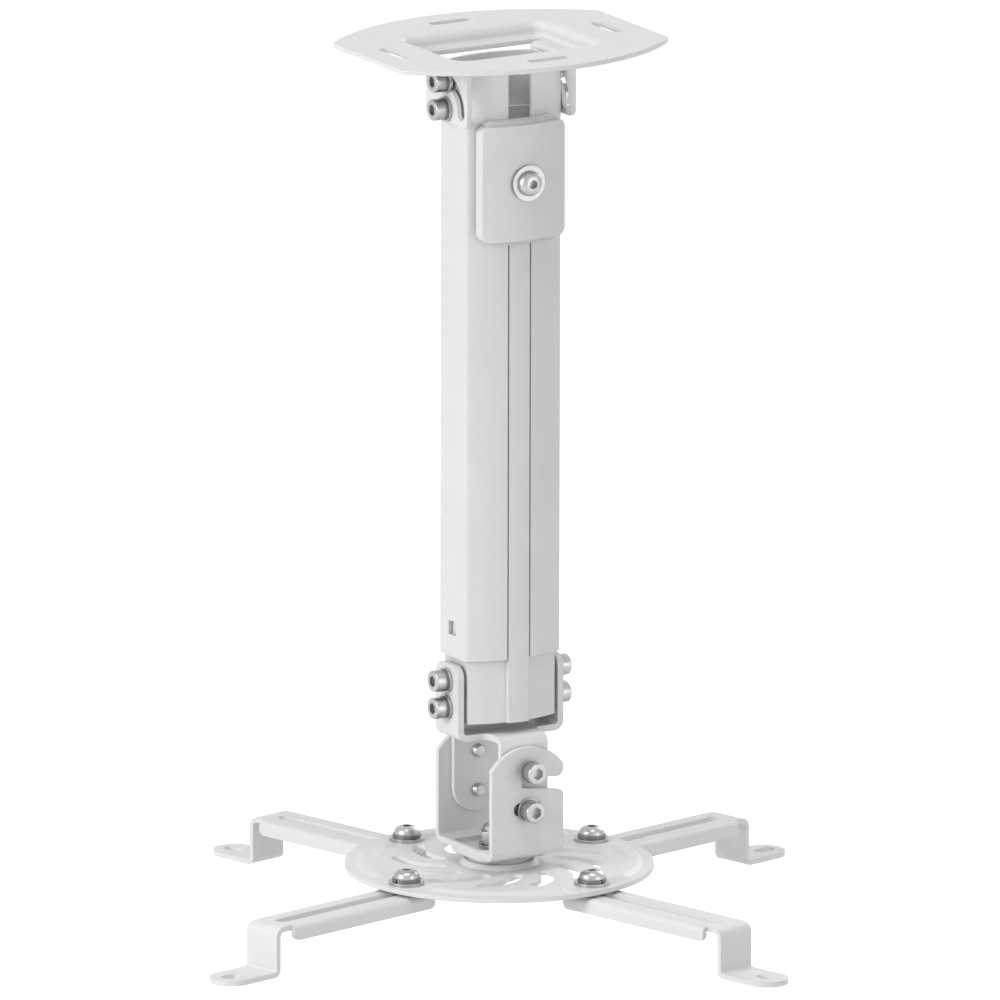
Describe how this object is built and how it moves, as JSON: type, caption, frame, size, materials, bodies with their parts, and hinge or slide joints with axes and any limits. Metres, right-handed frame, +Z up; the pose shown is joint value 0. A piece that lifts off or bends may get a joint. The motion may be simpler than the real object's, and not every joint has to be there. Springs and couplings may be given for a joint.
{
  "type": "projector ceiling mount",
  "caption": "Telescopic ceiling mount for a projector: slotted plate with a recess, sliding column with a clamp, tilting clevis, swivel disc and adjustable channel arms.",
  "frame": {"origin": "centre of the ceiling plate's top face, in the plane of that face", "axes": "+Z up, X along the column's wide face, -Y to the front, where the clamp is"},
  "size_m": [0.3682, 0.3682, 0.43],
  "materials": {
    "plate_coat": "white powder coat, satin",
    "column_coat": "white powder coat, satin",
    "bracket_coat": "white powder coat, satin",
    "disc_coat": "white powder coat, satin",
    "arm_coat": "white powder coat, satin",
    "pad_plastic": "moulded, fine matt grain",
    "zinc": "bright zinc plate",
    "dark_zinc": "dull dark zinc plate",
    "nylon": "natural nylon"
  },
  "bodies": {
    "ceiling": {"ceiling_plate": "plate_coat"},
    "outer": {"outer_column": "column_coat", "ceiling_screws": "zinc", "ceiling_flat_washers": "zinc", "ceiling_spring_washers": "dark_zinc", "ceiling_nuts": "zinc", "ceiling_spacers": "nylon"},
    "inner": {"inner_column": "column_coat", "clamp_plate": "column_coat", "clamp_pad": "pad_plastic", "clamp_screw": "zinc", "clamp_washer": "zinc", "clamp_nut": "zinc", "foot_bracket": "bracket_coat", "foot_screws": "zinc", "foot_flat_washers": "zinc", "foot_spring_washers": "dark_zinc", "foot_nuts": "zinc", "foot_spacers": "nylon", "tilt_screws": "zinc", "tilt_flat_washers": "zinc", "tilt_spring_washers": "dark_zinc"},
    "clevis": {"clevis": "bracket_coat", "swivel_bolt": "zinc", "swivel_nut": "zinc", "swivel_top_washer": "zinc", "swivel_lower_washer": "zinc", "swivel_friction_washer": "nylon"},
    "disc": {"swivel_disc": "disc_coat"},
    "right_arm_clamp": {"right_arm_bolt": "zinc", "right_arm_washer": "zinc", "right_arm_spring_washer": "dark_zinc", "right_arm_spacer": "nylon", "right_arm_nut": "zinc"},
    "right_arm": {"right_arm": "arm_coat"},
    "back_arm_clamp": {"back_arm_bolt": "zinc", "back_arm_washer": "zinc", "back_arm_spring_washer": "dark_zinc", "back_arm_spacer": "nylon", "back_arm_nut": "zinc"},
    "back_arm": {"back_arm": "arm_coat"},
    "left_arm_clamp": {"left_arm_bolt": "zinc", "left_arm_washer": "zinc", "left_arm_spring_washer": "dark_zinc", "left_arm_spacer": "nylon", "left_arm_nut": "zinc"},
    "left_arm": {"left_arm": "arm_coat"},
    "front_arm_clamp": {"front_arm_bolt": "zinc", "front_arm_washer": "zinc", "front_arm_spring_washer": "dark_zinc", "front_arm_spacer": "nylon", "front_arm_nut": "zinc"},
    "front_arm": {"front_arm": "arm_coat"}
  },
  "joints": [
    {"name": "ceiling_tilt", "type": "hinge", "parent": "ceiling", "child": "outer", "pos_m": [0, 0, -0.03], "axis": [1, 0, 0], "range_deg": [0, 90]},
    {"name": "height_slide", "type": "slide", "parent": "outer", "child": "inner", "axis": [0, 0, -1], "range_m": [0, 0.205]},
    {"name": "projector_tilt", "type": "hinge", "parent": "inner", "child": "clevis", "pos_m": [0, 0, -0.3518], "axis": [0, 1, 0], "range_deg": [-13, 13]},
    {"name": "swivel", "type": "hinge", "parent": "clevis", "child": "disc", "pos_m": [0, 0, -0.4], "axis": [0, 0, 1], "continuous": true},
    {"name": "right_arm_turn", "type": "hinge", "parent": "disc", "child": "right_arm_clamp", "pos_m": [0.06047, 0.0162, -0.406], "axis": [0, 0, 1], "range_deg": [-90, 90]},
    {"name": "right_arm_slide", "type": "slide", "parent": "right_arm_clamp", "child": "right_arm", "axis": [-0.9659, -0.2588, 0], "range_m": [0, 0.04]},
    {"name": "back_arm_turn", "type": "hinge", "parent": "disc", "child": "back_arm_clamp", "pos_m": [-0.0162, 0.06047, -0.406], "axis": [0, 0, 1], "range_deg": [-90, 90]},
    {"name": "back_arm_slide", "type": "slide", "parent": "back_arm_clamp", "child": "back_arm", "axis": [0.2588, -0.9659, 0], "range_m": [0, 0.04]},
    {"name": "left_arm_turn", "type": "hinge", "parent": "disc", "child": "left_arm_clamp", "pos_m": [-0.06047, -0.0162, -0.406], "axis": [0, 0, 1], "range_deg": [-90, 90]},
    {"name": "left_arm_slide", "type": "slide", "parent": "left_arm_clamp", "child": "left_arm", "axis": [0.9659, 0.2588, 0], "range_m": [0, 0.04]},
    {"name": "front_arm_turn", "type": "hinge", "parent": "disc", "child": "front_arm_clamp", "pos_m": [0.0162, -0.06047, -0.406], "axis": [0, 0, 1], "range_deg": [-90, 90]},
    {"name": "front_arm_slide", "type": "slide", "parent": "front_arm_clamp", "child": "front_arm", "axis": [-0.2588, 0.9659, 0], "range_m": [0, 0.04]}
  ]
}
